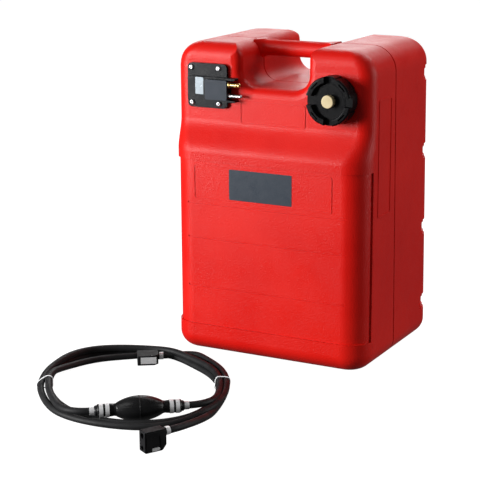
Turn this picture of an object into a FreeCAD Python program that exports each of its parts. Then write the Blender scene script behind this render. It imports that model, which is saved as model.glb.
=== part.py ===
"""Outboard fuel tank with its fuel line, as a parametric FreeCAD document.

Millimetres.  X runs along the tank's width, Y from its front to its back and Z up.
The origin is on the surface the tank stands on, in the middle of its width and
half of tank_depth behind its lower front face.
"""
import FreeCAD, Part
import Sketcher
import math
import os
from FreeCAD import Vector

doc = FreeCAD.newDocument("FuelTank")
sheet = doc.addObject("Spreadsheet::Sheet", "Sizes")


# ---------------------------------------------------------------- driving sizes

class Size:
    """A number together with the spreadsheet expression that gives it."""

    def __init__(self, value, text=None):
        self.value = float(value)
        self.text = text if text else repr(round(self.value, 9))

    def __add__(self, other):
        other = as_size(other)
        return Size(self.value + other.value, f"({self.text} + {other.text})")

    def __sub__(self, other):
        other = as_size(other)
        return Size(self.value - other.value, f"({self.text} - {other.text})")

    def __mul__(self, other):
        other = as_size(other)
        return Size(self.value * other.value, f"({self.text} * {other.text})")

    def __truediv__(self, other):
        other = as_size(other)
        return Size(self.value / other.value, f"({self.text} / {other.text})")

    def __radd__(self, other):
        return as_size(other) + self

    def __rsub__(self, other):
        return as_size(other) - self

    def __rmul__(self, other):
        return as_size(other) * self

    def __neg__(self):
        return Size(-self.value, f"(0 - {self.text})")


def as_size(number):
    return number if isinstance(number, Size) else Size(number)


def above_zero(size):
    return Size(max(size.value, 0.0), f"max({size.text}; 0)")


def root(size):
    return Size(math.sqrt(max(size.value, 0.0)), f"sqrt(max({size.text}; 0))")


class Sheet:
    """The spreadsheet's named cells, each one read as an attribute."""

    def __init__(self):
        self.row = 0

    def add(self, **cells):
        for alias, value in cells.items():
            self.row += 1
            sheet.set(f"A{self.row}", alias)
            sheet.set(f"B{self.row}", repr(float(value)))
            sheet.setAlias(f"B{self.row}", alias)
            setattr(self, alias, Size(value, f"Sizes.{alias}"))


# overall sizes of the tank
TANK_WIDTH = 326
TANK_DEPTH = 252
TANK_HEIGHT = 480

S = Sheet()

# tank body
S.add(
    tank_width=TANK_WIDTH,
    tank_depth=TANK_DEPTH,
    tank_height=TANK_HEIGHT,
    wall=5.5,
    face_setback=22,        # upper front face behind the lower one
    shoulder_low=316,       # where the shoulder starts to lean back
    shoulder_high=364,      # where it has reached the upper face
    bottom_round=26,
    side_round=38,          # between the top and the two sides
    rear_top=7,             # how far the back stands out beyond the depth, at the top
    rear_foot=20,           # and at the foot, because it is drafted
    front_round=20,         # between the top and the upper front face
    rear_round=30,
    low_corner=38,          # upright front corners below the shoulder
    high_corner=22,         # and above it
    rear_corner=34,
)
# carrying handle
S.add(
    grip_left=53,           # the hand gap's two sides at the front
    grip_right=59,
    grip_widens=10,         # how much further out the left one is at the back
    grip_floor=416,
    grip_corner=24,
    grip_top_round=20,
    grip_lip=14,
    bar_radius=12.5,
    bar_flare=10,
    bar_place=-17,
    seam_top=-17,           # parting groove, at the top and at the foot
    seam_foot=-6,
    seam_width=2.6,
    seam_depth=2.2,
)
# moulded-in detail of the tank
S.add(
    panel_bottom=45,        # recess round the front and its corners
    panel_top=304,
    panel_back=-93,
    panel_depth=2.6,
    rule_width=2.4,         # level lines pressed into the front panel
    rule_depth=1.3,
    rule_one=237,
    rule_two=183,
    rule_three=106,
    rib_first=56,           # four channels round the back
    rib_pitch=123.5,
    rib_width=14,
    rib_edge=5,
    rib_depth=4,
    rib_step=2,             # and of their wider, shallower edges
    rib_reach=98,           # how far forward they run on the sides
    frame_line=2,           # raised frames on the front, face and side
    frame_rise=0.7,
    label_frame_left=-122,
    label_frame_right=110,
    label_frame_low=243,
    label_frame_high=298,
    note_left=-52,
    note_right=57,
    note_low=361,
    note_high=396,
    side_frame_front=-77,
    side_frame_back=-30,
    side_frame_low=232,
    side_frame_high=408,
)
# filler neck and cap, whose parts are measured out from the upper front face
S.add(
    neck_x=105.2,
    neck_z=409.4,
    neck_bore=46,
    neck_spigot=50,
    neck_outer=56,
    neck_length=14,
    cap_radius=36,
    cap_front=27,
    cap_skirt_gap=2.5,
    cap_wall=6,
    cap_plate=3.5,
    cap_dish=25,
    cap_notch_width=13,
    cap_notch_depth=8,
    cap_notch_reach=24,
    cap_slot_place=30.5,
    cap_slot_width=2,
    cap_slot_length=14,
    cap_slot_depth=3,
    gasket=2,
    vent_radius=9.5,
    vent_rise=8.5,
    vent_shaft=2.9,
    vent_gap=0.3,
    vent_tail=5,
    vent_seal=1,
    vent_bore=1.2,
)
# gauge unit, measured from its own middle
S.add(
    gauge_x=-104.5,
    gauge_z=416,
    gauge_size=67,
    gauge_corner=7,
    gauge_gasket=1.5,
    gauge_base=4,
    gauge_hole=17,
    fit=0.1,                # radial clearance of fixed round fits
    band_left=31,
    band_right=33,
    band_low=22,
    band_high=14,
    band_rise=5,
    window_left=-18,
    window_right=-4,
    window_low=-13,
    window_high=13,
    window_depth=8,
    lens=1.5,
    dial=1,
    block_left=2,
    block_right=39,
    block_low=-19,
    block_high=11,
    block_rise=6.5,
    boss_rise=3,
    boss_left=30,
    guard_left=32,          # two guards that stand either side of the connector
    guard_right=51,
    guard_high_from=10.7,
    guard_high_to=14,
    guard_low_from=-22,
    guard_low_to=-19.2,
    nipple_high=4,
    nipple_out=10.4,
    nipple_radius=3.4,
    nipple_tip=59,
    nipple_shank=2.8,
    shank_length=6,
    pin_high=-12.5,
    pin_tip=62,
    pin_radius=2.8,
    needle_length=17,
    needle_pivot=-9,
    needle_rest=-15,        # degrees from upright, with the tank empty
)
# pick-up tube and float inside the tank
S.add(
    stem_length=22,
    stem_plate=3,
    stem_width=12,
    pivot_drop=175,         # below the gauge's middle
    pivot_back=18,          # behind the upper front face
    pivot_radius=2,
    hub_radius=4.5,
    hub_gap=0.4,
    running=0.08,
    arm_radius=1.6,
    arm_length=178,
    arm_rest=-65,           # degrees from level, with the float at its low stop
    float_radius=15,
    float_length=40,
    pickup_x=-10,
    pickup_back=44,
    pickup_radius=4,
    pickup_wall=1,
    pickup_bend=12,
    strainer_radius=8,
    strainer_height=22,
    strainer_clear=4,
)
# fuel line: hose, primer bulb and the two connectors, lying on the floor
S.add(
    hose_radius=5,
    coil_x=-118,
    coil_y=-322,
    bulb_x=-37,
    bulb_y=-427.2,
    bulb_z=18.5,
    bulb_turn=36.9,
    bulb_radius=17.8,
    bulb_half=33,
    bulb_seam=0.5,
    bulb_neck=9,
    neck_end=58,
    barb_end=62,
    crimp_end=68.5,
    crimp_radius=7.2,
    crimp_wall=0.8,
    fitting_radius=7.4,
    strap_wall=0.8,
    strap_width=5.5,
    link_length=32,         # connectors on the two ends
    link_half_width=14.5,
    link_height=15,
    link_bore=3.9,
    link_key_bore=3.3,
    link_depth=18.5,
    latch_from=5,
    latch_to=29,
    latch_half_width=5.2,
    latch_thick=1.2,
    latch_inset=0.3,        # the latch lies this far inside the side face
    latch_bed=2.1,
    latch_pocket=5.6,
    latch_knuckle=2.1,
    latch_pin=1,
    latch_pin_place=22,
    latch_pin_depth=2.9,
    rear_link_x=-170.4,
    rear_link_y=-219.3,
    rear_link_turn=33,
    front_link_x=20,
    front_link_y=-519,
    front_link_turn=60,
)
doc.recompute()


# ---------------------------------------------------------------- sketch helpers

def bind(thing, **links):
    """Ties properties to sheet expressions; __ in a name stands for a dot."""
    for name, size in links.items():
        thing.setExpression(name.replace("__", "."), as_size(size).text)


def new_body(name, x=0, y=0, z=0):
    body = doc.addObject("PartDesign::Body", name)
    body.Label = name
    body.AllowCompound = True
    for axis, size in zip("xyz", (x, y, z)):
        size = as_size(size)
        setattr(body.Placement.Base, axis, size.value)
        body.setExpression(f"Placement.Base.{axis}", size.text)
    return body


def origin_plane(body, role):
    return next(f for f in body.Origin.OriginFeatures if f.Role == role)


def new_sketch(body, name, role="XY_Plane", lift=0, across=0, along=0):
    """A sketch on one of the body's own planes, moved by three sizes."""
    sketch = body.newObject("Sketcher::SketchObject", name)
    sketch.AttachmentSupport = [(origin_plane(body, role), "")]
    sketch.MapMode = "FlatFace"
    x, y, z = (as_size(v) for v in (across, along, lift))
    place = Vector(x.value, y.value, z.value)
    sketch.AttachmentOffset = FreeCAD.Placement(place, FreeCAD.Rotation())
    for axis, size in zip("xyz", (x, y, z)):
        if size.value or size.text.startswith(("(", "S")):
            sketch.setExpression(f"AttachmentOffset.Base.{axis}", size.text)
    return sketch


def fix(sketch, kind, *args):
    """Adds a constraint whose last argument is a Size and binds it to the sheet."""
    size = as_size(args[-1])
    index = sketch.addConstraint(Sketcher.Constraint(kind, *args[:-1], size.value))
    if size.text.startswith(("Sizes", "(", "max", "sqrt")):
        sketch.setExpression(f"Constraints[{index}]", size.text)
    return index


def pin_point(sketch, geometry, end, x, y):
    for kind, size in (("DistanceX", x), ("DistanceY", y)):
        fix(sketch, kind, -1, 1, geometry, end, size)


def outline(sketch, corners):
    """A closed outline of straight sides; each corner is (x, y) or (x, y, radius)."""
    spots = [Vector(as_size(c[0]).value, as_size(c[1]).value, 0) for c in corners]
    count = len(corners)
    starts, ends, middles = [], [], []
    for i, corner in enumerate(corners):
        here, before, after = spots[i], spots[i - 1], spots[(i + 1) % count]
        if len(corner) < 3:
            starts.append(here)
            ends.append(here)
            middles.append(None)
            continue
        radius = as_size(corner[2]).value
        u = (before - here).normalize()
        w = (after - here).normalize()
        half = u.getAngle(w) / 2
        reach = radius / math.tan(half)
        starts.append(here + u * reach)
        ends.append(here + w * reach)
        middles.append(here + (u + w).normalize() * (radius / math.sin(half)))
    sides = []
    for i in range(count):
        line = Part.LineSegment(ends[i], starts[(i + 1) % count])
        sides.append(sketch.addGeometry(line, False))
    for i, corner in enumerate(corners):
        before, after = sides[i - 1], sides[i]
        if middles[i] is None:
            sketch.addConstraint(Sketcher.Constraint("Coincident", before, 2, after, 1))
            pin_point(sketch, after, 1, corner[0], corner[1])
            continue
        centre, radius = middles[i], as_size(corner[2]).value
        a = math.atan2(starts[i].y - centre.y, starts[i].x - centre.x)
        b = math.atan2(ends[i].y - centre.y, ends[i].x - centre.x)
        left = (spots[i] - starts[i]).cross(ends[i] - spots[i]).z > 0
        if not left:
            a, b = b, a
        if b < a:
            b += 2 * math.pi
        circle = Part.Circle(centre, Vector(0, 0, 1), radius)
        arc = sketch.addGeometry(Part.ArcOfCircle(circle, a, b), False)
        first, second = (1, 2) if left else (2, 1)
        sketch.addConstraint(Sketcher.Constraint("Tangent", before, 2, arc, first))
        sketch.addConstraint(Sketcher.Constraint("Tangent", arc, second, after, 1))
        point = sketch.addGeometry(Part.Point(spots[i]), True)
        sketch.addConstraint(Sketcher.Constraint("PointOnObject", point, 1, before))
        sketch.addConstraint(Sketcher.Constraint("PointOnObject", point, 1, after))
        pin_point(sketch, point, 1, corner[0], corner[1])
        fix(sketch, "Radius", arc, corner[2])
    return sketch


def circle(sketch, x, y, radius):
    x, y, radius = as_size(x), as_size(y), as_size(radius)
    shape = Part.Circle(Vector(x.value, y.value, 0), Vector(0, 0, 1), radius.value)
    ring = sketch.addGeometry(shape, False)
    pin_point(sketch, ring, 3, x, y)
    fix(sketch, "Radius", ring, radius)
    return sketch


# ---------------------------------------------------------------- feature helpers

def pad(body, name, sketch, length, both=False, back=False):
    feature = body.newObject("PartDesign::Pad", name)
    feature.Profile = sketch
    feature.Length = as_size(length).value
    bind(feature, Length=length)
    feature.Midplane = both
    feature.Reversed = back
    return feature


def pocket(body, name, sketch, length, both=False, back=False):
    feature = body.newObject("PartDesign::Pocket", name)
    feature.Profile = sketch
    feature.Length = as_size(length).value
    bind(feature, Length=length)
    feature.Midplane = both
    feature.Reversed = back
    return feature


def loft(body, name, sketches, cut=False):
    kind = "PartDesign::SubtractiveLoft" if cut else "PartDesign::AdditiveLoft"
    feature = body.newObject(kind, name)
    feature.Profile = sketches[0]
    feature.Sections = sketches[1:]
    feature.Ruled = False
    return feature


def revolve(body, name, sketch, axis="V_Axis", cut=False):
    kind = "PartDesign::Groove" if cut else "PartDesign::Revolution"
    feature = body.newObject(kind, name)
    feature.Profile = sketch
    feature.ReferenceAxis = (sketch, [axis])
    feature.Angle = 360
    return feature


def boolean(kind, name, base, tool):
    """Part::Cut, Part::Fuse or Part::Common of two objects."""
    feature = doc.addObject(f"Part::{kind}", name)
    feature.Label = name
    feature.Base = base
    feature.Tool = tool
    return feature


# ---------------------------------------------------------------- tank

def quarter(radius, depth):
    """How far a quarter-round of this radius stands back, this deep into it."""
    return radius - root(radius * radius - depth * depth)


def tank_outline(body, name, height, inset, squeeze):
    """One level section of the tank.  squeeze gives what the sides, front and back lose."""
    side, front, rear, corner, rear_corner = squeeze
    half = S.tank_width / 2 - inset - side
    y0 = -S.tank_depth / 2 + inset + front
    beyond = S.rear_foot + (S.rear_top - S.rear_foot) * height / S.tank_height
    y1 = S.tank_depth / 2 - inset - rear + beyond
    return outline(new_sketch(body, name, "XY_Plane", height), [
        (-half, y0, corner - inset),
        (half, y0, corner - inset),
        (half, y1, rear_corner - inset),
        (-half, y1, rear_corner - inset),
    ])


def tank_form(name, inset):
    """The closed moulded form, moved inwards by inset, as one body."""
    inset = as_size(inset)
    body = new_body(name)
    bottom_round = S.bottom_round - inset
    turns = [0, 18, 36, 54, 70, 82, 90]
    levels = []
    for k, turn in enumerate(reversed(turns)):
        deep = bottom_round * math.sin(math.radians(turn))
        shrink = quarter(bottom_round, deep)
        height = inset + bottom_round - deep
        squeeze = (shrink, shrink, shrink, S.low_corner - shrink, S.rear_corner - shrink)
        levels.append(tank_outline(body, f"{name}_bottom{k}", height, inset, squeeze))
    loft(body, f"{name}_bottom", levels)

    plain = (as_size(0), as_size(0), as_size(0), S.low_corner, S.rear_corner)
    loft(body, f"{name}_panel", [
        tank_outline(body, f"{name}_low", S.bottom_round, inset, plain),
        tank_outline(body, f"{name}_mid", S.shoulder_low, inset, plain),
    ])

    levels = []
    for k in range(7):
        t = k / 6
        lean = t * t * (3 - 2 * t)
        height = S.shoulder_low + (S.shoulder_high - S.shoulder_low) * t
        corner = S.low_corner + (S.high_corner - S.low_corner) * lean
        squeeze = (as_size(0), S.face_setback * lean, as_size(0), corner, S.rear_corner)
        levels.append(tank_outline(body, f"{name}_shoulder{k}", height, inset, squeeze))
    loft(body, f"{name}_shoulder", levels)

    high = (as_size(0), S.face_setback, as_size(0), S.high_corner, S.rear_corner)
    loft(body, f"{name}_face", [
        tank_outline(body, f"{name}_high", S.shoulder_high, inset, high),
        tank_outline(body, f"{name}_brow", S.tank_height - S.side_round, inset, high),
    ])

    side_round = S.side_round - inset
    front_round = S.front_round - inset
    rear_round = S.rear_round - inset
    levels = []
    for k, turn in enumerate(turns):
        rise = side_round * math.sin(math.radians(turn))
        height = S.tank_height - S.side_round + rise
        side = quarter(side_round, rise)
        front = quarter(front_round, above_zero(rise - side_round + front_round))
        rear = quarter(rear_round, above_zero(rise - side_round + rear_round))
        corner = S.high_corner - front * 0.5
        rear_corner = S.rear_corner - rear * 0.7
        squeeze = (side, S.face_setback + front, rear, corner, rear_corner)
        levels.append(tank_outline(body, f"{name}_top{k}", height, inset, squeeze))
    loft(body, f"{name}_top", levels)
    return body


def grip_outline(body, name, place, grow, left_grow=0):
    """The U of the hand gap across the tank at one depth, grown outwards by grow."""
    left = -S.grip_left - grow - left_grow
    right = S.grip_right + grow
    top = S.tank_height + 0.6
    beyond = S.grip_top_round + 30
    return outline(new_sketch(body, name, "XZ_Plane", -place), [
        (left - beyond, top + 30),
        (left - beyond, top),
        (left, top, S.grip_top_round - grow),
        (left, S.grip_floor - grow, S.grip_corner + grow),
        (right, S.grip_floor - grow, S.grip_corner + grow),
        (right, top, S.grip_top_round - grow),
        (right + beyond, top),
        (right + beyond, top + 30),
    ])


def cut_grip(body, name, inset):
    """Cuts the hand gap through the form, with its two mouths rounded outwards."""
    inset = as_size(inset)
    front = -S.tank_depth / 2 + S.face_setback + inset
    rear = S.tank_depth / 2 + S.rear_top - inset
    lip = S.grip_lip - inset
    for end, face, way, more in (("front", front, 1, as_size(0)),
                                 ("rear", rear, -1, S.grip_widens)):
        sections = [grip_outline(body, f"{name}_{end}_out", face - 3 * way,
                                 inset + lip + 3, more)]
        for k, turn in enumerate((0, 25, 50, 72, 90)):
            deep = lip * (1 - math.cos(math.radians(turn)))
            grow = inset + lip * (1 - math.sin(math.radians(turn)))
            sections.append(grip_outline(body, f"{name}_{end}{k}", face + deep * way,
                                         grow, more))
        loft(body, f"{name}_{end}", sections, cut=True)
    loft(body, f"{name}_through", [
        grip_outline(body, f"{name}_from", front + lip, inset),
        grip_outline(body, f"{name}_to", rear - lip, inset, S.grip_widens),
    ], cut=True)


def band(name, front, back, spans, reach, lean=0):
    """Plain blocks across the tank, from which skin-deep channels are made."""
    body = new_body(name)
    for k, (low, high) in enumerate(spans):
        sketch = outline(new_sketch(body, f"{name}_side{k}", "YZ_Plane"), [
            (front + lean, low),
            (back + lean, low),
            (back, high),
            (front, high),
        ])
        pad(body, f"{name}_block{k}", sketch, reach * 2, both=True)
    return body


def add_bar(body, name, inset):
    """The carrying bar across the hand gap, flared where it meets the two sides."""
    height = S.tank_height - 0.5 - S.bar_radius
    left = -S.grip_left - S.grip_widens / 2 - 6
    right = S.grip_right + 7
    radius = S.bar_radius - inset
    flare = radius + S.bar_flare
    sketch = new_sketch(body, f"{name}_profile", "XZ_Plane", -S.bar_place, along=height)
    outline(sketch, [
        (left, 0),
        (right, 0),
        (right, flare),
        (right - 13, radius, 16),
        (left + 13, radius, 16),
        (left, flare),
    ])
    revolve(body, name, sketch, "H_Axis")
    trim = new_sketch(body, f"{name}_trim", "XY_Plane", S.tank_height - inset)
    outline(trim, [
        (left, S.bar_place - flare - 3),
        (right, S.bar_place - flare - 3),
        (right, S.bar_place + flare + 3),
        (left, S.bar_place + flare + 3),
    ])
    pocket(body, f"{name}_top", trim, 20, back=True)


def raised_frame(name, role, lift, left, right, low, high):
    """A thin raised frame with round corners, standing on one face of the tank."""
    body = new_body(name)
    for part, shift in ((f"{name}_outer", as_size(0)), (f"{name}_inner", S.frame_line)):
        corner = 4 - shift / 2
        sketch = new_sketch(body, f"{part}_line", role, lift - S.frame_rise)
        outline(sketch, [
            (left + shift, low + shift, corner),
            (right - shift, low + shift, corner),
            (right - shift, high - shift, corner),
            (left + shift, high - shift, corner),
        ])
        if part.endswith("outer"):
            pad(body, part, sketch, S.frame_rise * 2)
        else:
            pocket(body, part, sketch, S.frame_rise * 2, back=True)
    return body


def build_tank():
    """The hollow tank: moulded form, pressed-in detail, cavity and its two holes."""
    tank = tank_form("tank_outer", 0)
    cut_grip(tank, "grip", 0)
    add_bar(tank, "bar", as_size(0))

    half_depth, half_width = S.tank_depth / 2, S.tank_width / 2
    reach = half_width + 20
    face = half_depth - S.face_setback

    seam_core = tank_form("seam_core", S.seam_depth)
    cut_grip(seam_core, "seam_grip", S.seam_depth)
    add_bar(seam_core, "seam_bar", S.seam_depth / 3)
    seam_half = S.seam_width / 2
    seam = band("seam_band", S.seam_top - seam_half, S.seam_top + seam_half,
                [(as_size(0), S.tank_height)], reach, S.seam_foot - S.seam_top)
    tank = boolean("Cut", "tank_seamed", tank, boolean("Cut", "seam", seam, seam_core))

    panel = band("panel_band", -half_depth - 10, S.panel_back,
                 [(S.panel_bottom, S.panel_top)], reach)
    panel_core = tank_form("panel_core", S.panel_depth)
    tank = boolean("Cut", "tank_panel", tank, boolean("Cut", "panel", panel, panel_core))

    rules = [(z - S.rule_width / 2, z + S.rule_width / 2)
             for z in (S.rule_one, S.rule_two, S.rule_three)]
    rule = band("rule_band", -half_depth - 10, -half_depth + 30, rules, half_width - 30)
    rule_core = tank_form("rule_core", S.panel_depth + S.rule_depth)
    tank = boolean("Cut", "tank_ruled", tank, boolean("Cut", "rule", rule, rule_core))

    for step, deep, half in (("edge", S.rib_step, S.rib_width / 2 + S.rib_edge),
                             ("floor", S.rib_depth, S.rib_width / 2)):
        ribs = [(S.rib_first + S.rib_pitch * k - half, S.rib_first + S.rib_pitch * k + half)
                for k in range(4)]
        front = S.rib_reach + (S.rib_depth - deep) * 2
        rib = band(f"rib_{step}_band", front, half_depth + S.rear_foot + 10, ribs, reach)
        rib_core = tank_form(f"rib_{step}_core", deep)
        rib = boolean("Cut", f"rib_{step}", rib, rib_core)
        tank = boolean("Cut", f"tank_rib_{step}", tank, rib)

    frames = (
        raised_frame("label_frame", "XZ_Plane", half_depth - S.panel_depth,
                     S.label_frame_left, S.label_frame_right,
                     S.label_frame_low, S.label_frame_high),
        raised_frame("note_frame", "XZ_Plane", face,
                     S.note_left, S.note_right, S.note_low, S.note_high),
        raised_frame("side_frame", "YZ_Plane", half_width,
                     S.side_frame_front, S.side_frame_back,
                     S.side_frame_low, S.side_frame_high),
    )
    for frame in frames:
        tank = boolean("Fuse", f"tank_{frame.Name}", tank, frame)

    cavity = tank_form("cavity", S.wall)
    cut_grip(cavity, "cavity_grip", S.wall)
    for name, x, z, radius in (
        ("neck_hole", S.neck_x, S.neck_z, S.neck_spigot / 2 + S.fit),
        ("gauge_hole", S.gauge_x, S.gauge_z, S.gauge_hole),
    ):
        sketch = circle(new_sketch(cavity, f"{name}_ring", "XZ_Plane", face - S.wall - 6),
                        x, z, radius)
        pad(cavity, name, sketch, S.wall + 12)
    return boolean("Cut", "tank_shell", tank, cavity)


tank_shell = build_tank()


# ---------------------------------------------------------------- filler neck and cap

FACE = -(S.tank_depth / 2 - S.face_setback)     # Y of the upper front face


def at_neck(name):
    return new_body(name, S.neck_x, FACE, S.neck_z)


def turned(body, name, points):
    """A piece turned round the body's Y axis from (radius, distance out) points."""
    sketch = new_sketch(body, f"{name}_profile", "XY_Plane")
    outline(sketch, [(as_size(p[0]), -as_size(p[1]), *p[2:]) for p in points])
    return revolve(body, name, sketch, "V_Axis")


def ring_pattern(body, name, feature, count):
    """Repeats a feature round the body's Y axis."""
    pattern = body.newObject("PartDesign::PolarPattern", name)
    pattern.Originals = [feature]
    pattern.Axis = (origin_plane(body, "Y_Axis"), [""])
    pattern.Angle = 360
    pattern.Occurrences = count
    body.Tip = pattern
    return pattern


def build_neck():
    body = at_neck("filler_neck")
    bore, outer, spigot = S.neck_bore / 2, S.neck_outer / 2, S.neck_spigot / 2
    turned(body, "neck", [
        (bore, -S.wall),
        (spigot, -S.wall),
        (spigot, 0),
        (outer + 3, 0),
        (outer + 3, 1.6),
        (outer, 1.6),
        (outer, S.neck_length - 1),
        (outer - 1, S.neck_length),
        (bore + 1, S.neck_length),
        (bore, S.neck_length - 1),
    ])
    return body


def build_cap():
    body = at_neck("filler_cap")
    inner = S.cap_radius - S.cap_wall
    seat = S.neck_length + S.gasket
    dish = seat + S.cap_plate
    turned(body, "cap", [
        (S.vent_shaft + S.vent_gap, seat),
        (inner, seat),
        (inner, S.cap_skirt_gap),
        (S.cap_radius, S.cap_skirt_gap),
        (S.cap_radius, S.cap_front, 2.5),
        (S.cap_dish + 2, S.cap_front, 1),
        (S.cap_dish, dish),
        (S.vent_shaft + S.vent_gap, dish),
    ])
    notch = new_sketch(body, "cap_notch_line", "XZ_Plane", S.cap_front)
    outline(notch, [
        (-S.cap_notch_width / 2, S.cap_notch_reach),
        (S.cap_notch_width / 2, S.cap_notch_reach),
        (S.cap_notch_width / 2 + 1, S.cap_radius + 5),
        (-S.cap_notch_width / 2 - 1, S.cap_radius + 5),
    ])
    cut = pocket(body, "cap_notch", notch, S.cap_notch_depth)
    ring_pattern(body, "cap_notches", cut, 4)
    doc.recompute()
    slot = new_sketch(body, "cap_slot_line", "XY_Plane")
    slot.AttachmentOffset = FreeCAD.Placement(
        Vector(0, 0, 0), FreeCAD.Rotation(Vector(0, 1, 0), 45))
    slot_half = S.cap_slot_width / 2
    outline(slot, [
        (S.cap_slot_place - slot_half, -S.cap_front - 2),
        (S.cap_slot_place + slot_half, -S.cap_front - 2),
        (S.cap_slot_place + slot_half, -S.cap_front + S.cap_slot_depth),
        (S.cap_slot_place - slot_half, -S.cap_front + S.cap_slot_depth),
    ])
    cut = pocket(body, "cap_slot", slot, S.cap_slot_length, both=True)
    ring_pattern(body, "cap_slots", cut, 4)
    doc.recompute()
    flute = new_sketch(body, "cap_flute_line", "XZ_Plane", S.cap_skirt_gap - 1)
    outline(flute, [
        (-2.2, S.cap_radius - 1.2),
        (2.2, S.cap_radius - 1.2),
        (2.8, S.cap_radius + 4),
        (-2.8, S.cap_radius + 4),
    ])
    flute.AttachmentOffset = FreeCAD.Placement(
        flute.AttachmentOffset.Base, FreeCAD.Rotation(Vector(0, 0, 1), 24))
    cut = pocket(body, "cap_flute", flute, S.cap_front + 2, back=True)
    ring_pattern(body, "cap_flutes", cut, 8)
    return body


def build_cap_parts():
    seat = S.neck_length + S.gasket
    dish = seat + S.cap_plate
    gasket = at_neck("cap_gasket")
    turned(gasket, "gasket_ring", [
        (S.neck_bore / 2 - 2, S.neck_length),
        (S.cap_radius - S.cap_wall - 0.4, S.neck_length),
        (S.cap_radius - S.cap_wall - 0.4, seat),
        (S.neck_bore / 2 - 2, seat),
    ])
    seal = at_neck("vent_seal")
    turned(seal, "seal_ring", [
        (S.vent_shaft + S.vent_gap, dish),
        (S.vent_shaft + 4, dish),
        (S.vent_shaft + 4, dish + S.vent_seal),
        (S.vent_shaft + S.vent_gap, dish + S.vent_seal),
    ])
    vent = at_neck("vent_screw")
    foot = dish + S.vent_seal
    turned(vent, "vent", [
        (S.vent_bore, foot - 2),
        (S.vent_bore, seat - S.vent_tail),
        (S.vent_shaft - 0.6, seat - S.vent_tail),
        (S.vent_shaft, seat - S.vent_tail + 0.8),
        (S.vent_shaft, foot),
        (S.vent_radius, foot),
        (S.vent_radius, foot + S.vent_rise, 1.5),
        (0, foot + S.vent_rise),
        (0, foot - 2),
    ])
    grip = new_sketch(vent, "vent_grip_line", "XZ_Plane", foot - 0.5)
    outline(grip, [
        (-0.9, S.vent_radius - 0.7),
        (0.9, S.vent_radius - 0.7),
        (1.2, S.vent_radius + 2),
        (-1.2, S.vent_radius + 2),
    ])
    cut = pocket(vent, "vent_grip", grip, S.vent_rise - 1, back=True)
    ring_pattern(vent, "vent_grips", cut, 12)
    return gasket, seal, vent


filler_neck = build_neck()
filler_cap = build_cap()
cap_gasket, vent_seal, vent_screw = build_cap_parts()


# ---------------------------------------------------------------- gauge unit

def at_gauge(name):
    return new_body(name, S.gauge_x, FACE, S.gauge_z)


def block(body, name, left, right, low, high, start, length, corner=None, cut=False):
    """A block or pocket on the gauge, from start outwards, with optional round corners."""
    tail = () if corner is None else (corner,)
    sketch = outline(new_sketch(body, f"{name}_line", "XZ_Plane", start), [
        (left, low, *tail),
        (right, low, *tail),
        (right, high, *tail),
        (left, high, *tail),
    ])
    if cut:
        return pocket(body, name, sketch, length, back=True)
    return pad(body, name, sketch, length)


def build_gauge():
    half = S.gauge_size / 2
    gasket = at_gauge("gauge_gasket")
    block(gasket, "gauge_gasket_sheet", 1 - half, half - 1, 1 - half, half - 1,
          0, S.gauge_gasket, S.gauge_corner - 1)
    hole = circle(new_sketch(gasket, "gauge_gasket_ring", "XZ_Plane"), 0, 0,
                  S.gauge_hole - 0.5)
    pocket(gasket, "gauge_gasket_hole", hole, S.gauge_gasket, back=True)

    plate = at_gauge("gauge_plate")
    base = S.gauge_gasket
    top = base + S.gauge_base
    front = top + S.band_rise
    block(plate, "base", -half, half, -half, half, base, S.gauge_base, S.gauge_corner)
    block(plate, "band", -S.band_left, S.band_right, -S.band_low, S.band_high,
          top - 1, S.band_rise + 1, 2)
    deep = S.boss_rise
    block(plate, "boss", S.boss_left, S.block_right, S.block_low, S.block_high,
          base, front - base + deep, 1.5)
    for guard, low, high in (("guard_high", S.guard_high_from, S.guard_high_to),
                             ("guard_low", S.guard_low_from, S.guard_low_to)):
        block(plate, guard, S.guard_left, S.guard_right, low, high,
              base, front - base + deep, 1.2)
    block(plate, "window", S.window_left, S.window_right, S.window_low, S.window_high,
          front - S.window_depth, S.window_depth + 5, 1.5, cut=True)
    sockets = new_sketch(plate, "socket_line", "YZ_Plane", S.block_right)
    shank = S.nipple_shank + S.fit
    circle(sockets, -S.nipple_out, S.nipple_high, shank)
    circle(sockets, -S.nipple_out, S.pin_high, shank)
    pocket(plate, "sockets", sockets, S.shank_length)

    cover = at_gauge("connector_cover")
    block(cover, "cover", S.block_left, S.block_right, S.block_low, S.block_high,
          front + deep, S.block_rise - deep, 2.5)
    block(cover, "cover_foot", S.block_left, S.boss_left, S.block_low, S.block_high,
          front, deep + 0.5, 1)

    dial = at_gauge("gauge_dial")
    floor = front - S.window_depth
    block(dial, "dial", S.window_left + S.fit, S.window_right - S.fit,
          S.window_low + S.fit, S.window_high - S.fit, floor, S.dial, 1.5)
    lens = at_gauge("gauge_window")
    block(lens, "lens", S.window_left + S.fit, S.window_right - S.fit,
          S.window_low + S.fit, S.window_high - S.fit, front - S.lens, S.lens, 1.5)
    return gasket, plate, cover, dial, lens


gauge_gasket, gauge_plate, connector_cover, gauge_dial, gauge_window = build_gauge()


def turned_across(body, name, points, out=0, high=0):
    """A piece turned round a line along X from (distance along X, radius) points."""
    sketch = new_sketch(body, f"{name}_profile", "XZ_Plane", out, along=high)
    outline(sketch, points)
    return revolve(body, name, sketch, "H_Axis")


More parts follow.
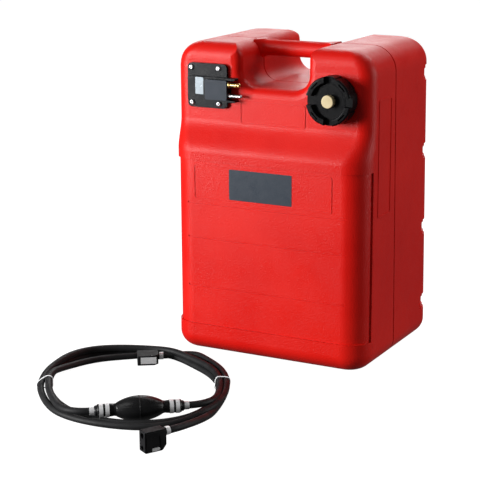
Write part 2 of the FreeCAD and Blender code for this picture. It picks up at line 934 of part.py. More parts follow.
def build_pins():
    """The brass fuel nipple and the plain pin beside it that keys the connector."""
    root_end = S.block_right
    shank_end = root_end - S.shank_length + 0.5
    nipple = at_gauge("fuel_nipple")
    r = S.nipple_radius
    turned_across(nipple, "nipple", [
        (shank_end, 1.2),
        (shank_end, S.nipple_shank),
        (root_end, S.nipple_shank),
        (root_end, r + 1.8),
        (root_end + 2.5, r + 1.8),
        (root_end + 2.5, r),
        (S.nipple_tip - 5.5, r),
        (S.nipple_tip - 5.5, r - 0.9),
        (S.nipple_tip - 3.5, r - 0.9),
        (S.nipple_tip - 3.5, r),
        (S.nipple_tip - 1.5, r),
        (S.nipple_tip, r - 1.2),
        (S.nipple_tip, 1.2),
    ], S.nipple_out, S.nipple_high)
    pin = at_gauge("locating_pin")
    r = S.pin_radius
    turned_across(pin, "pin", [
        (shank_end, 0),
        (shank_end, S.nipple_shank),
        (root_end, S.nipple_shank),
        (root_end, r + 1.4),
        (root_end + 1.5, r + 1.4),
        (root_end + 1.5, r),
        (S.pin_tip - 2, r),
        (S.pin_tip, r - 1.6),
        (S.pin_tip, 0),
    ], S.nipple_out, S.pin_high)
    return nipple, pin


def turn_in_place(body, axis, degrees):
    """Turns a body about its own origin, by an angle from the sheet."""
    body.Placement.Rotation = FreeCAD.Rotation(axis, degrees.value)
    body.setExpression("Placement.Rotation.Axis.x", repr(axis.x))
    body.setExpression("Placement.Rotation.Axis.y", repr(axis.y))
    body.setExpression("Placement.Rotation.Axis.z", repr(axis.z))
    body.setExpression("Placement.Rotation.Angle", degrees.text)
    return body


def build_needle():
    """The pointer behind the window, on its small arbor in the dial."""
    middle = (S.window_left + S.window_right) / 2
    needle = new_body("gauge_needle", S.gauge_x + middle, FACE, S.gauge_z + S.needle_pivot)
    turn_in_place(needle, Vector(0, 1, 0), S.needle_rest)
    start = S.gauge_gasket + S.gauge_base + S.band_rise - S.window_depth + S.dial + 0.4
    hub = circle(new_sketch(needle, "needle_hub_line", "XZ_Plane", start), 0, 0, 2.2)
    pad(needle, "needle_hub", hub, 2)
    blade = outline(new_sketch(needle, "needle_blade_line", "XZ_Plane", start + 0.4), [
        (-1.1, 0),
        (1.1, 0),
        (0.4, S.needle_length),
        (-0.4, S.needle_length),
    ])
    pad(needle, "needle_blade", blade, 0.9)
    return needle


def build_stem():
    """The gauge's inner part: plug through the tank's hole, strip and pivot cheeks."""
    stem = at_gauge("gauge_stem")
    plug = circle(new_sketch(stem, "stem_plug_line", "XZ_Plane", -S.stem_length),
                  0, 0, S.gauge_hole - 0.5)
    pad(stem, "stem_plug", plug, S.stem_length + S.gauge_gasket)
    half = S.stem_width / 2
    strip = outline(new_sketch(stem, "stem_strip_line", "XZ_Plane",
                               -S.pivot_back + S.stem_plate), [
        (-half, -S.pivot_drop + 12),
        (half, -S.pivot_drop + 12),
        (half, -4),
        (-half, -4),
    ])
    pad(stem, "stem_strip", strip, S.stem_plate)
    inner = half - 2.5
    for side, a, b in (("left", -half, -inner), ("right", inner, half)):
        cheek = outline(new_sketch(stem, f"cheek_{side}_line", "YZ_Plane", a), [
            (S.pivot_back - 6, -S.pivot_drop - 6, 5),
            (S.pivot_back + 6, -S.pivot_drop - 6, 5),
            (S.pivot_back + 6, -S.pivot_drop + 6, 5),
            (S.pivot_back - S.stem_plate + 1, -S.pivot_drop + 26),
            (S.pivot_back - S.stem_plate * 2, -S.pivot_drop + 26),
            (S.pivot_back - S.stem_plate * 2, -S.pivot_drop + 8),
        ])
        pad(stem, f"cheek_{side}", cheek, b - a)
    bore = circle(new_sketch(stem, "pivot_bore_line", "YZ_Plane", -half - 1),
                  S.pivot_back, -S.pivot_drop, S.pivot_radius + 0.02)
    pocket(stem, "pivot_bore", bore, S.stem_width + 2, back=True)
    return stem


def at_pivot(name):
    return new_body(name, S.gauge_x, FACE + S.pivot_back, S.gauge_z - S.pivot_drop)


def build_float():
    """Pivot pin, swinging wire with its hub, and the float on its end."""
    pin = at_pivot("float_pin")
    half = S.stem_width / 2
    turned_across(pin, "float_pin_turn", [
        (-half - 2, 0),
        (-half - 2, S.pivot_radius + 1),
        (-half - 0.3, S.pivot_radius + 1),
        (-half - 0.3, S.pivot_radius),
        (half + 2, S.pivot_radius),
        (half + 2, 0),
    ])
    arm = turn_in_place(at_pivot("float_arm"), Vector(1, 0, 0), S.arm_rest)
    inner = half - 2.5 - S.hub_gap
    turned_across(arm, "hub", [
        (-inner, S.pivot_radius + S.running),
        (inner, S.pivot_radius + S.running),
        (inner, S.hub_radius),
        (-inner, S.hub_radius),
    ])
    wire = circle(new_sketch(arm, "wire_line", "XZ_Plane",
                             -S.arm_length - S.float_radius - 2), 0, 0, S.arm_radius)
    pad(arm, "wire", wire, S.arm_length + S.float_radius + 2 - S.hub_radius + 1)
    drum = turn_in_place(at_pivot("gauge_float"), Vector(1, 0, 0), S.arm_rest)
    disc = circle(new_sketch(drum, "float_line", "YZ_Plane", -S.float_length / 2),
                  S.arm_length, 0, S.float_radius)
    pad(drum, "float_drum", disc, S.float_length)
    hole = circle(new_sketch(drum, "float_hole_line", "XZ_Plane",
                             -S.arm_length - S.float_radius - 4), 0, 0,
                  S.arm_radius + S.fit)
    pocket(drum, "float_hole", hole, S.float_radius * 2 + 8, back=True)
    return pin, arm, drum


def tube_ring(sketch, place):
    """The pick-up tube's wall, at its place across the gauge."""
    circle(sketch, S.pickup_x, place, S.pickup_radius)
    return circle(sketch, S.pickup_x, place, S.pickup_radius - S.pickup_wall)


def build_pickup():
    """The tube that draws fuel from the tank's floor, with its strainer."""
    tube = at_gauge("pickup_tube")
    start, back, bend = S.stem_length, S.pickup_back, S.pickup_bend
    foot = S.wall + S.strainer_clear + S.strainer_height - 6 - S.gauge_z
    run = tube_ring(new_sketch(tube, "pickup_run_line", "XZ_Plane", -start), 0)
    pad(tube, "pickup_run", run, back - bend - start, back=True)
    elbow = tube_ring(new_sketch(tube, "pickup_elbow_line", "XZ_Plane", bend - back,
                                 along=-bend), bend)
    turn = revolve(tube, "pickup_elbow", elbow, "H_Axis")
    turn.Angle = 90
    turn.Reversed = True
    drop = tube_ring(new_sketch(tube, "pickup_drop_line", "XY_Plane", -bend), back)
    pad(tube, "pickup_drop", drop, -bend - foot, back=True)

    strainer = new_body("strainer", S.gauge_x + S.pickup_x, FACE + S.pickup_back,
                        S.wall + S.strainer_clear)
    sketch = new_sketch(strainer, "strainer_profile", "XZ_Plane")
    bore = S.pickup_radius + S.fit
    outline(sketch, [
        (0, 0),
        (S.strainer_radius - 1.5, 0),
        (S.strainer_radius, 1.5),
        (S.strainer_radius, S.strainer_height - 8),
        (S.pickup_radius + 2, S.strainer_height),
        (bore, S.strainer_height),
        (bore, S.strainer_height - 6),
        (bore - 1.5, S.strainer_height - 6),
        (S.strainer_radius - 2, S.strainer_height - 9),
        (S.strainer_radius - 2, 2),
        (0, 2),
    ])
    revolve(strainer, "strainer_cup", sketch, "V_Axis")
    slit = outline(new_sketch(strainer, "slit_line", "XZ_Plane"), [
        (-1, 3.5),
        (1, 3.5),
        (1, S.strainer_height - 10),
        (-1, S.strainer_height - 10),
    ])
    cut = pocket(strainer, "slit", slit, S.strainer_radius + 2, back=True)
    pattern = strainer.newObject("PartDesign::PolarPattern", "slits")
    pattern.Originals = [cut]
    pattern.Axis = (origin_plane(strainer, "Z_Axis"), [""])
    pattern.Angle = 360
    pattern.Occurrences = 6
    strainer.Tip = pattern
    return tube, strainer


fuel_nipple, locating_pin = build_pins()
gauge_needle = build_needle()
gauge_stem = build_stem()
float_pin, float_arm, gauge_float = build_float()
pickup_tube, strainer = build_pickup()


# ---------------------------------------------------------------- primer bulb

def turn_body(body, degrees, tip=0):
    """Turns a body about Z, after tipping it about its own X axis."""
    turn = FreeCAD.Rotation(Vector(0, 0, 1), degrees.value)
    body.Placement.Rotation = turn * FreeCAD.Rotation(Vector(1, 0, 0), tip)
    return body


def at_bulb(name):
    body = new_body(name, S.bulb_x, S.bulb_y, S.bulb_z)
    return turn_body(body, S.bulb_turn)


def build_bulb():
    """The squeeze bulb with its two moulded necks, one rubber piece."""
    bulb = at_bulb("primer_bulb")
    sketch = new_sketch(bulb, "bulb_profile", "XZ_Plane")
    half, big, neck, end = S.bulb_half, S.bulb_radius, S.bulb_neck, S.neck_end
    outline(sketch, [
        (-end, 0),
        (end, 0),
        (end, neck, 1),
        (half + 3, neck - 0.6, 9),
        (half * 0.66, big * 0.86, 16),
        (S.bulb_seam * 8, big - S.bulb_seam, 40),
        (S.bulb_seam, big),
        (-S.bulb_seam, big),
        (-S.bulb_seam * 8, big - S.bulb_seam, 40),
        (-half * 0.66, big * 0.86, 16),
        (-half - 3, neck - 0.6, 9),
        (-end, neck, 1),
    ])
    revolve(bulb, "bulb", sketch, "H_Axis")
    return bulb


def ring_on_bulb(name, start, end, inner, outer):
    body = at_bulb(name)
    sketch = new_sketch(body, f"{name}_profile", "XZ_Plane")
    outline(sketch, [(start, inner), (end, inner), (end, outer), (start, outer)])
    revolve(body, name + "_turn", sketch, "H_Axis")
    return body


def build_bulb_fittings():
    """Straps round the necks, and at each end the barbed valve with its hose crimp."""
    pieces = []
    neck, wide = S.bulb_neck, S.strap_width
    for side, way in (("in", -1), ("out", 1)):
        for k, place in enumerate((S.neck_end - 5.5, S.neck_end - 14)):
            middle = place * way
            pieces.append(ring_on_bulb(f"neck_strap_{side}_{k + 1}", middle - wide / 2,
                                       middle + wide / 2, neck, neck + S.strap_wall))
        body = at_bulb(f"bulb_valve_{side}")
        sketch = new_sketch(body, f"valve_{side}_profile", "XZ_Plane")
        outline(sketch, [(x * way, r) for x, r in (
            (S.neck_end, as_size(0)),
            (S.neck_end, S.fitting_radius),
            (S.neck_end + 2.5, S.fitting_radius),
            (S.barb_end, S.hose_radius + 0.6),
            (S.barb_end, as_size(0)),
        )])
        revolve(body, f"valve_{side}", sketch, "H_Axis")
        pieces.append(body)
        body = at_bulb(f"hose_crimp_{side}")
        sketch = new_sketch(body, f"crimp_{side}_profile", "XZ_Plane")
        outline(sketch, [(x * way, r) for x, r in (
            (S.barb_end, S.hose_radius),
            (S.crimp_end, S.hose_radius),
            (S.crimp_end, S.hose_radius + S.crimp_wall),
            (S.barb_end, S.hose_radius + S.crimp_wall),
        )])
        revolve(body, f"crimp_{side}", sketch, "H_Axis")
        pieces.append(body)
    return pieces


primer_bulb = build_bulb()
bulb_fittings = build_bulb_fittings()


# ---------------------------------------------------------------- connectors

link_bore_half = (S.nipple_high - S.pin_high) / 2       # as far apart as the two pins


def at_link(name, which):
    """A body at a connector's mouth, X towards the hose; the front one stands on edge."""
    if which == "rear":
        body = new_body(name, S.rear_link_x, S.rear_link_y, 0)
        return turn_body(body, S.rear_link_turn)
    body = new_body(name, S.front_link_x, S.front_link_y, S.link_half_width)
    return turn_body(body, S.front_link_turn, 90)


def build_connector(which):
    """Push-on connector: two blind bores, spring latch on its pin, barb for the hose."""
    body = at_link(f"{which}_connector", which)
    half, high = S.link_half_width, S.link_height
    plan = outline(new_sketch(body, f"{which}_plan", "XY_Plane"), [
        (0, -half, 2),
        (S.link_length - 6, -half, 4),
        (S.link_length, -half + 7, 3),
        (S.link_length, half, 3),
        (0, half, 2),
    ])
    pad(body, f"{which}_case", plan, high)
    bore_y = link_bore_half
    bores = new_sketch(body, f"{which}_bores_line", "YZ_Plane")
    circle(bores, bore_y, high / 2, S.link_bore)
    circle(bores, -bore_y, high / 2, S.link_key_bore)
    pocket(body, f"{which}_bores", bores, S.link_depth, back=True)
    barb = new_sketch(body, f"{which}_barb_line", "XY_Plane", high / 2, along=bore_y)
    end = S.link_length
    outline(barb, [
        (end - 2, 0),
        (end + 2, 0),
        (end + 2, S.hose_radius + 0.8),
        (end - 2, S.hose_radius + 0.8),
    ])
    revolve(body, f"{which}_barb", barb, "H_Axis")

    wide = S.latch_half_width + 0.3
    knuckle, pivot = S.latch_knuckle, S.latch_pin_place
    for place, start, stop, deep in (
        ("bed", S.latch_from - 1, pivot - knuckle, S.latch_bed),
        ("pocket", pivot - knuckle - 0.9, S.latch_to + 1, S.latch_pocket),
    ):
        sketch = outline(new_sketch(body, f"{which}_{place}_line", "XZ_Plane", half), [
            (start, high / 2 - wide),
            (stop, high / 2 - wide),
            (stop, high / 2 + wide),
            (start, high / 2 + wide),
        ])
        pocket(body, f"{which}_{place}", sketch, deep)
    pin_deep = S.latch_pin_depth - half
    hinge = new_sketch(body, f"{which}_hinge_line", "XY_Plane", -1)
    circle(hinge, pivot, pin_deep, S.latch_pin + 0.02)
    pocket(body, f"{which}_hinge", hinge, high + 2, back=True)

    pin = at_link(f"{which}_latch_pin", which)
    rod = circle(new_sketch(pin, f"{which}_rod_line", "XY_Plane", 0.3),
                 pivot, pin_deep, S.latch_pin)
    pad(pin, f"{which}_rod", rod, high - 0.6)

    latch = at_link(f"{which}_latch", which)
    top, under = S.latch_inset - half, S.latch_inset + S.latch_thick - half
    side = outline(new_sketch(latch, f"{which}_latch_line", "XY_Plane", high / 2), [
        (S.latch_from, top),
        (S.latch_from, under),
        (pivot - knuckle, under),
        (pivot - knuckle, pin_deep + knuckle, knuckle - 0.2),
        (pivot + knuckle, pin_deep + knuckle, knuckle - 0.2),
        (pivot + knuckle, under),
        (S.latch_to, under),
        (S.latch_to, top),
    ])
    pad(latch, f"{which}_latch_plate", side, S.latch_half_width * 2, both=True)
    eye = circle(new_sketch(latch, f"{which}_eye_line", "XY_Plane", high / 2),
                 pivot, pin_deep, S.latch_pin + S.running)
    pocket(latch, f"{which}_eye", eye, S.latch_half_width * 2 + 4, both=True)

    crimp = at_link(f"{which}_crimp", which)
    sketch = new_sketch(crimp, f"{which}_crimp_line", "XY_Plane", high / 2, along=bore_y)
    outline(sketch, [
        (end + 2, S.hose_radius),
        (end + 8, S.hose_radius),
        (end + 8, S.hose_radius + S.crimp_wall),
        (end + 2, S.hose_radius + S.crimp_wall),
    ])
    revolve(crimp, f"{which}_crimp_turn", sketch, "H_Axis")
    return body, pin, latch, crimp


connectors = build_connector("rear") + build_connector("front")


# ---------------------------------------------------------------- hose

COIL_OUTER = [
    (158, -122), (62, -159), (-20, -153), (-78, -113), (-128, -50), (-150, 18),
    (-141, 88), (-93, 134), (-28, 160), (50, 149), (104, 94), (152, 32), (172, -38),
]
COIL_INNER = [
    (127, -84), (60, -140), (0, -122), (-46, -111), (-86, -70), (-120, -26),
    (-127, 50), (-104, 88), (-66, 115), (-24, 146), (16, 121), (62, 104), (108, 66),
    (134, 10),
]


def loop(sketch, points):
    """A closed loop of straight sides with the largest corner arcs they allow."""
    spots = [Vector(x, y, 0) for x, y in points]
    corners = []
    for k, here in enumerate(spots):
        before, after = spots[k - 1] - here, spots[(k + 1) % len(spots)] - here
        half = before.getAngle(after) / 2
        radius = 0.45 * min(before.Length, after.Length) * math.tan(half)
        corners.append((here.x, here.y, radius))
    return outline(sketch, corners)


def build_coil():
    """The outer shape of the coiled hose: a ring of two layers with a lower front."""
    body = new_body("hose_coil", S.coil_x, S.coil_y, 0)
    outer = loop(new_sketch(body, "coil_outer_line"), COIL_OUTER)
    pad(body, "coil_outer", outer, S.hose_radius * 4 + 1)
    inner = loop(new_sketch(body, "coil_inner_line"), COIL_INNER)
    pocket(body, "coil_inner", inner, S.hose_radius * 4 + 6, back=True)
    front = outline(new_sketch(body, "coil_front_line", "XY_Plane",
                               S.hose_radius * 2 + 0.4), [
        (-38, -180),
        (200, -180),
        (200, -12),
        (-38, -12),
    ])
    pocket(body, "coil_front", front, S.hose_radius * 3, back=True)
    for name, half, wide, high in (
        ("coil_seat", S.neck_end + 1, S.bulb_neck + 1,
         S.bulb_z - S.bulb_neck - S.strap_wall - 0.4),
        ("coil_bed", S.bulb_half + 4, S.bulb_radius + 0.5, S.hose_radius * -1),
    ):
        seat = new_sketch(body, f"{name}_line", "XY_Plane", high)
        seat.AttachmentOffset = FreeCAD.Placement(
            Vector(S.bulb_x.value - S.coil_x.value, S.bulb_y.value - S.coil_y.value, 0)
            + seat.AttachmentOffset.Base,
            FreeCAD.Rotation(Vector(0, 0, 1), S.bulb_turn.value))
        outline(seat, [(-half, -wide), (half, -wide), (half, wide), (-half, wide)])
        pocket(body, name, seat, S.hose_radius * 6, back=True)
    return body


def hose_path(points):
    """Straight runs joined by the largest tangent arcs that the runs allow."""
    spots = [Vector(*p) for p in points]
    edges, last, radii = [], spots[0], []
    for before, here, after in zip(spots, spots[1:], spots[2:]):
        u = (here - before).normalize()
        w = (after - here).normalize()
        half = u.getAngle(w) / 2
        reach = 0.45 * min((here - before).Length, (after - here).Length)
        radius = reach / math.tan(half)
        start, end = here - u * reach, here + w * reach
        towards = (w - u).normalize()
        middle = here + towards * (radius / math.cos(half) - radius)
        edges.append(Part.LineSegment(last, start).toShape())
        edges.append(Part.Arc(start, middle, end).toShape())
        radii.append(round(radius, 1))
        last = end
    edges.append(Part.LineSegment(last, spots[-1]).toShape())
    return Part.Wire(edges), radii


def build_hose(name, points, less=None):
    """A free stretch of hose as a plain tube; less is a solid that it ends against."""
    path, radii = hose_path(points)
    way = Vector(*points[1]) - Vector(*points[0])
    ring = Part.Circle(Vector(*points[0]), way, S.hose_radius.value).toShape()
    shape = path.makePipeShell([Part.Wire(ring)], True, False)
    share = shape.Volume / (math.pi * S.hose_radius.value ** 2 * path.Length)
    print(name, "radii", radii, "length", round(path.Length, 1), "volume", round(share, 3))
    if less is not None:
        pieces = shape.cut(less).Solids
        shape = max(pieces, key=lambda solid: solid.Volume)
    feature = doc.addObject("Part::Feature", name)
    feature.Label = name
    feature.Shape = shape
    feature.Placement = FreeCAD.Placement()
    return feature


def bulb_point(distance, high=0):
    turn = math.radians(S.bulb_turn.value)
    return (S.bulb_x.value + distance * math.cos(turn),
            S.bulb_y.value + distance * math.sin(turn), S.bulb_z.value + high)


def link_point(which, distance):
    """A point on the hose's way out of a connector."""
    x, y, turn, high = {
        "rear": (S.rear_link_x, S.rear_link_y, S.rear_link_turn, S.link_height / 2),
        "front": (S.front_link_x, S.front_link_y, S.front_link_turn,
                  S.link_half_width + link_bore_half),
    }[which]
    turn = math.radians(turn.value)
    aside = link_bore_half.value if which == "rear" else S.link_height.value / 2
    u = Vector(math.cos(turn), math.sin(turn), 0)
    side = Vector(-u.y, u.x, 0) if which == "rear" else Vector(u.y, -u.x, 0)
    spot = Vector(x.value, y.value, high.value) + u * distance + side * aside
    return tuple(spot)


hose_coil = build_coil()
doc.recompute()
coil_shape = hose_coil.Shape
bulb_out = S.barb_end.value
link_out = S.link_length.value + 2
hoses = [
    build_hose("hose_from_bulb", [
        bulb_point(bulb_out), bulb_point(bulb_out + 13),
        (31.6, -369.9, 18.3), (35.5, -354.4, 17.5), (33, -336.5, 16.1),
        (25.5, -315.9, 14.8), (15, -292.1, 14),
    ], coil_shape),
    build_hose("hose_to_bulb", [
        bulb_point(-bulb_out), bulb_point(-bulb_out - 13),
        (-110.4, -476.3, 18.1), (-125.3, -475, 17.2), (-141.3, -466.8, 16),
        (-158.4, -452.9, 15), (-178.5, -433.4, 14.5),
    ], coil_shape),
    build_hose("hose_rear_end", [
        link_point("rear", link_out), link_point("rear", link_out + 14),
        (-119, -180, 9), (-101.5, -180, 11),
    ], coil_shape),
    build_hose("hose_front_end", [
        link_point("front", link_out), link_point("front", link_out + 18),
        (56.5, -455, 21), (56, -430, 17.5), (51, -400, 13), (43, -368, 8),
        (35.5, -336, 5.5),
    ], coil_shape),
]


# ---------------------------------------------------------------- check and export

PIECES = [
    tank_shell, filler_neck, filler_cap, cap_gasket, vent_seal, vent_screw,
    gauge_gasket, gauge_plate, connector_cover, gauge_dial, gauge_window, gauge_needle,
    fuel_nipple, locating_pin, gauge_stem, float_pin, float_arm, gauge_float,
    pickup_tube, strainer, primer_bulb, *bulb_fittings, *connectors, hose_coil, *hoses,
]


def check_and_export():
    doc.recompute()
    for thing in doc.Objects:
        if "Invalid" in thing.State or "Error" in thing.State:
            raise RuntimeError(f"{thing.Name} failed: {thing.State}")
    for piece in PIECES:
        shape = piece.Shape
        if shape.isNull() or not shape.isValid() or shape.Volume <= 0:
            raise RuntimeError(f"{piece.Label} is not a sound solid")
    os.makedirs("parts", exist_ok=True)
    for piece in PIECES:
        piece.Shape.exportStep(f"parts/{piece.Label}.step")
        print(piece.Label, len(piece.Shape.Solids), round(piece.Shape.Volume / 1000, 2))


check_and_export()
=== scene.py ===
"""Blender scene of the outboard fuel tank with its coiled fuel line.

Lengths are in metres in the frame of the solids, unless a comment says millimetres.
"""
import math

import bmesh
import bpy
from mathutils import Matrix, Vector


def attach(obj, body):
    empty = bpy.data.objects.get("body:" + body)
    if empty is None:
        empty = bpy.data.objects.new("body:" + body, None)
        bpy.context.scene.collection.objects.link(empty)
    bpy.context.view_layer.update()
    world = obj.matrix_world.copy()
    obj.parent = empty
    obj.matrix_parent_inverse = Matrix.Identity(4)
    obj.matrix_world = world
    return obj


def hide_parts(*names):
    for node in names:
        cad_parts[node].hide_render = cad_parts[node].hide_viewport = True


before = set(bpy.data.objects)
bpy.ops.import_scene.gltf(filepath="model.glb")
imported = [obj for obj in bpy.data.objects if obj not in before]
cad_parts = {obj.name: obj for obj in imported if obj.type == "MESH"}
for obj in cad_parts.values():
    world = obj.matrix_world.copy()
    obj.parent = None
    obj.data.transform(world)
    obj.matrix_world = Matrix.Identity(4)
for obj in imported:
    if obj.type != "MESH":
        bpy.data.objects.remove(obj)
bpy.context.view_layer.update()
scene = bpy.context.scene

HOSE = 0.010                # the fuel hose's diameter
COIL = (-0.118, -0.322)     # the middle of the coil


# ---------------------------------------------------------------- camera

AZIMUTH, ELEVATION = math.radians(26.93), math.radians(14.28)
back = Vector((math.sin(AZIMUTH) * math.cos(ELEVATION),
               -math.cos(AZIMUTH) * math.cos(ELEVATION),
               math.sin(ELEVATION)))
camera_data = bpy.data.cameras.new("camera")
camera = bpy.data.objects.new("camera", camera_data)
scene.collection.objects.link(camera)
camera.location = (1.0245, -2.1036, 0.7589)
camera.rotation_euler = back.to_track_quat("Z", "Y").to_euler()
camera_data.sensor_width = 36
camera_data.lens = 114.82
camera_data.shift_x = -0.075
camera_data.clip_start = 0.05
camera_data.clip_end = 100
scene.camera = camera


# ---------------------------------------------------------------- helpers

def mesh_object(name, bm, material, smooth=False):
    """Turn a bmesh into an object with one material."""
    mesh = bpy.data.meshes.new(name)
    bm.to_mesh(mesh)
    bm.free()
    for face in mesh.polygons:
        face.use_smooth = smooth
    mesh.materials.append(material)
    made = bpy.data.objects.new(name, mesh)
    scene.collection.objects.link(made)
    return made


def add_mesh(name, bm, body, material, smooth=True):
    piece = mesh_object(name, bm, material, smooth)
    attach(piece, body)
    return piece


def add_spline(name, points, radius, body, material, closed=False, rings=6):
    """A round tube along one smooth NURBS spline through the given control points."""
    curve = bpy.data.curves.new(name, "CURVE")
    curve.dimensions = "3D"
    curve.bevel_depth = radius
    curve.bevel_resolution = rings
    curve.resolution_u = 10
    curve.use_fill_caps = True
    spline = curve.splines.new("NURBS")
    spline.points.add(len(points) - 1)
    for spot, point in zip(spline.points, points):
        spot.co = (*point, 1)
    spline.order_u = 3
    spline.use_cyclic_u = closed
    spline.use_endpoint_u = not closed
    piece = bpy.data.objects.new(name, curve)
    scene.collection.objects.link(piece)
    curve.materials.append(material)
    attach(piece, body)
    return piece


def bridge(bm, low, high):
    """Faces between two closed loops with equally many vertices."""
    for k in range(len(low)):
        nxt = (k + 1) % len(low)
        bm.faces.new((low[k], low[nxt], high[nxt], high[k]))


def mm(*values):
    """Millimetres as metres."""
    return tuple(value / 1000 for value in values)


def millimetres(rows):
    """Points from (x, y, z), all in millimetres."""
    return [mm(*row) for row in rows]


def on_coil(rows):
    """Points of the coil from (angle in degrees, radius, height in millimetres)."""
    return [(COIL[0] + r / 1000 * math.cos(math.radians(turn)),
             COIL[1] + r / 1000 * math.sin(math.radians(turn)), z / 1000)
            for turn, r, z in rows]


# ---------------------------------------------------------------- materials

MOTTLE = (0.3, 0.7)         # the span that holds nearly all of a noise texture's values


class Paint:
    """One procedural material: colour mottle, roughness mottle and fine bump."""

    def __init__(self, name, rough, metallic=0.0):
        self.material = bpy.data.materials.new(name)
        self.material.use_nodes = True
        self.tree = self.material.node_tree
        self.shader = self.tree.nodes["Principled BSDF"]
        self.shader.inputs["Roughness"].default_value = rough
        self.shader.inputs["Metallic"].default_value = metallic
        self.spot = self.tree.nodes.new("ShaderNodeTexCoord").outputs["Object"]
        self.normal = None

    def link(self, start, end):
        self.tree.links.new(start, end)

    def noise(self, scale, detail):
        noise = self.tree.nodes.new("ShaderNodeTexNoise")
        noise.inputs["Scale"].default_value = scale
        noise.inputs["Detail"].default_value = detail
        noise.inputs["Roughness"].default_value = 0.5
        self.link(self.spot, noise.inputs["Vector"])
        return noise.outputs["Fac"]

    def colour(self, low, high, scale):
        ramp = self.tree.nodes.new("ShaderNodeValToRGB")
        for stop, place, tone in zip(ramp.color_ramp.elements, MOTTLE, (low, high)):
            stop.position = place
            stop.color = (*tone, 1)
        self.link(self.noise(scale, detail=4), ramp.inputs["Fac"])
        self.link(ramp.outputs["Color"], self.shader.inputs["Base Color"])

    def gloss(self, low, high, scale):
        spread = self.tree.nodes.new("ShaderNodeMapRange")
        spread.inputs["From Min"].default_value = MOTTLE[0]
        spread.inputs["From Max"].default_value = MOTTLE[1]
        spread.inputs["To Min"].default_value = low
        spread.inputs["To Max"].default_value = high
        self.link(self.noise(scale, detail=4), spread.inputs["Value"])
        self.link(spread.outputs["Result"], self.shader.inputs["Roughness"])

    def bump(self, scale, detail, depth, strength):
        """Add one layer of grain, on top of the layers before it."""
        height = self.noise(scale, detail)
        bump = self.tree.nodes.new("ShaderNodeBump")
        bump.inputs["Distance"].default_value = depth
        bump.inputs["Strength"].default_value = strength
        self.link(height, bump.inputs["Height"])
        if self.normal:
            self.link(self.normal, bump.inputs["Normal"])
        self.normal = bump.outputs["Normal"]
        self.link(self.normal, self.shader.inputs["Normal"])

    def set(self, **values):
        for key, value in values.items():
            self.shader.inputs[key.replace("_", " ")].default_value = value


def tank_red():
    paint = Paint("tank_red", 0.36)
    paint.colour((0.51, 0.0050, 0.0030), (0.58, 0.0085, 0.0045), scale=9)
    paint.gloss(0.30, 0.42, scale=30)
    paint.bump(scale=560, detail=2, depth=0.0007, strength=0.6)
    paint.bump(scale=14, detail=2, depth=0.0008, strength=0.3)
    paint.set(IOR=1.5, Specular_IOR_Level=0.15)
    return paint.material


def plastic(name, low, high, rough, grain=1300, shine=0.14):
    paint = Paint(name, rough)
    paint.set(Specular_IOR_Level=shine)
    paint.colour(low, high, scale=60)
    paint.gloss(rough - 0.06, rough + 0.08, scale=90)
    paint.bump(scale=grain, detail=3, depth=0.0002, strength=0.5)
    return paint.material


def rubber(name, rough, shine=0.3, dark=1.0):
    paint = Paint(name, rough)
    paint.colour([dark * c for c in (0.012, 0.012, 0.013)],
                 [dark * c for c in (0.022, 0.022, 0.023)], scale=45)
    paint.gloss(rough - 0.06, rough + 0.1, scale=70)
    paint.bump(scale=700, detail=3, depth=0.0002, strength=0.45)
    paint.bump(scale=60, detail=2, depth=0.0006, strength=0.25)
    paint.set(IOR=1.5, Specular_IOR_Level=shine)
    return paint.material


def metal(name, low, high, rough, metallic=1.0):
    paint = Paint(name, rough, metallic)
    paint.colour(low, high, scale=220)
    paint.gloss(rough - 0.07, rough + 0.1, scale=300)
    paint.bump(scale=900, detail=2, depth=0.0001, strength=0.35)
    return paint.material


def frosted_window():
    paint = Paint("gauge_window", 0.2)
    paint.set(Transmission_Weight=0.45, IOR=1.4, Base_Color=(0.48, 0.56, 0.62, 1))
    paint.gloss(0.16, 0.30, scale=80)
    paint.bump(scale=60, detail=2, depth=0.0002, strength=0.3)
    return paint.material


RED = tank_red()
CAP = plastic("cap_black", (0.0025, 0.0025, 0.003), (0.004, 0.004, 0.0045), 0.30, shine=0.07)
PLATE = plastic("gauge_black", (0.003, 0.0035, 0.0045), (0.005, 0.006, 0.008), 0.30,
                shine=0.08)
SLATE = plastic("gauge_slate", (0.022, 0.028, 0.038), (0.028, 0.035, 0.047), 0.34,
                shine=0.10)
TRIM = plastic("trim_black", (0.008, 0.008, 0.009), (0.016, 0.016, 0.018), 0.34)
LINK = plastic("connector_black", (0.009, 0.009, 0.010), (0.016, 0.016, 0.017), 0.46,
               shine=0.08)
VENT = plastic("vent_cream", (0.52, 0.42, 0.24), (0.62, 0.52, 0.32), 0.42)
DIAL = plastic("dial_pale", (0.66, 0.76, 0.82), (0.74, 0.84, 0.90), 0.5)
NEEDLE = plastic("needle_red", (0.5, 0.03, 0.02), (0.6, 0.05, 0.03), 0.4)
INNER = plastic("inner_plastic", (0.7, 0.7, 0.66), (0.8, 0.8, 0.76), 0.5)
LABEL = plastic("bare_label", (0.030, 0.037, 0.049), (0.032, 0.040, 0.052), 0.34, grain=300)
RUBBER = rubber("black_rubber", 0.30, shine=0.26, dark=0.4)
HOSE_RUBBER = rubber("hose_rubber", 0.52, shine=0.16, dark=0.75)
SEAL = rubber("seal_rubber", 0.5)
# Clamp steel with a painted reflection: the near-white base on a steel that is only partly
# metallic paints the bright reflection that the hidden floor no longer gives.
STEEL_PAINTED_REFLECTION = metal("clamp_steel_painted_reflection", (0.80, 0.80, 0.81), (0.94, 0.94, 0.95), 0.34, metallic=0.4)
BRASS = metal("nipple_brass", (0.50, 0.34, 0.12), (0.64, 0.47, 0.20), 0.28)
SCREW = metal("screw_steel", (0.30, 0.30, 0.31), (0.46, 0.46, 0.47), 0.3)
MESH = metal("strainer_steel", (0.4, 0.4, 0.4), (0.6, 0.6, 0.6), 0.4)
GLASS = frosted_window()
